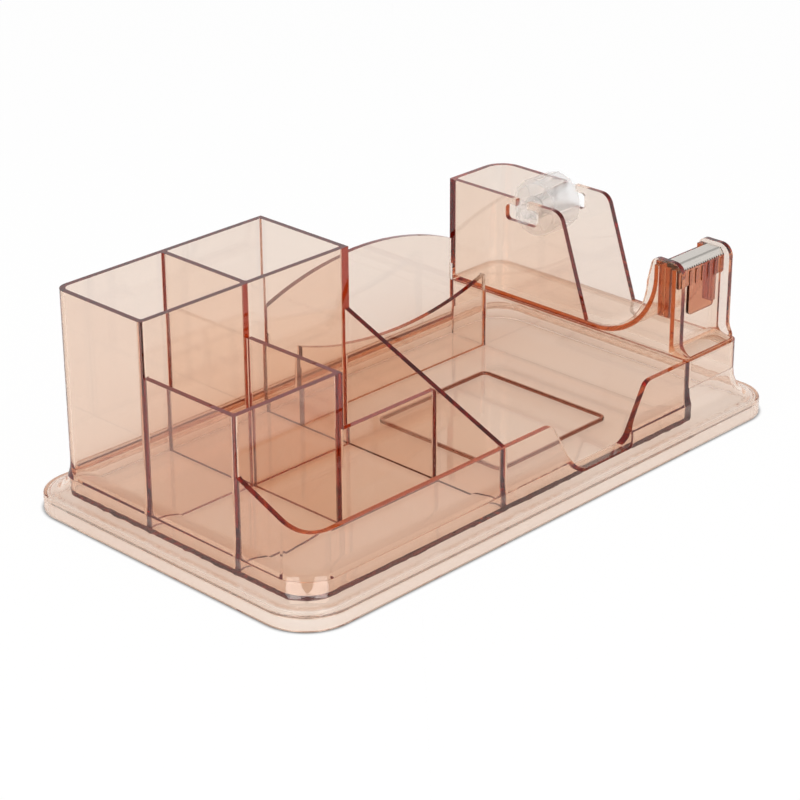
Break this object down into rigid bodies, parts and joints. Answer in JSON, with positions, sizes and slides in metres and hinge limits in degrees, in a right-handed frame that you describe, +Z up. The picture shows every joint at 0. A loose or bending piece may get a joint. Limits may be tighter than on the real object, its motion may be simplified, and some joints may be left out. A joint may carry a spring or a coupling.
{
  "type": "desk organizer with tape dispenser",
  "caption": "Clear amber desk organiser with tall and short pen cups, a note tray with a finger notch, and a tape dispenser with a lift-out hub and a toothed cutter.",
  "frame": {"origin": "centre of the footprint, on the table", "axes": "+Z up, +X from the pen cups to the tape dispenser, -Y towards the side with the finger notch"},
  "size_m": [0.2312, 0.1326, 0.0767],
  "materials": {
    "amber_plastic": "gloss",
    "clear_plastic": "gloss",
    "blade_steel": "satin"
  },
  "bodies": {
    "organiser": {"organiser_base": "amber_plastic", "tape_housing": "amber_plastic", "cutter_carrier": "amber_plastic", "cutter_blade": "blade_steel"},
    "axle": {"hub_axle": "clear_plastic"},
    "drum": {"hub_drum": "clear_plastic"}
  },
  "joints": [
    {"name": "hub_lift", "type": "slide", "parent": "organiser", "child": "axle", "axis": [0, 0, 1], "range_m": [0, 0.02]},
    {"name": "drum_spin", "type": "hinge", "parent": "axle", "child": "drum", "pos_m": [0.0909, 0.02065, 0.06175], "axis": [1, 0, 0], "continuous": true}
  ]
}
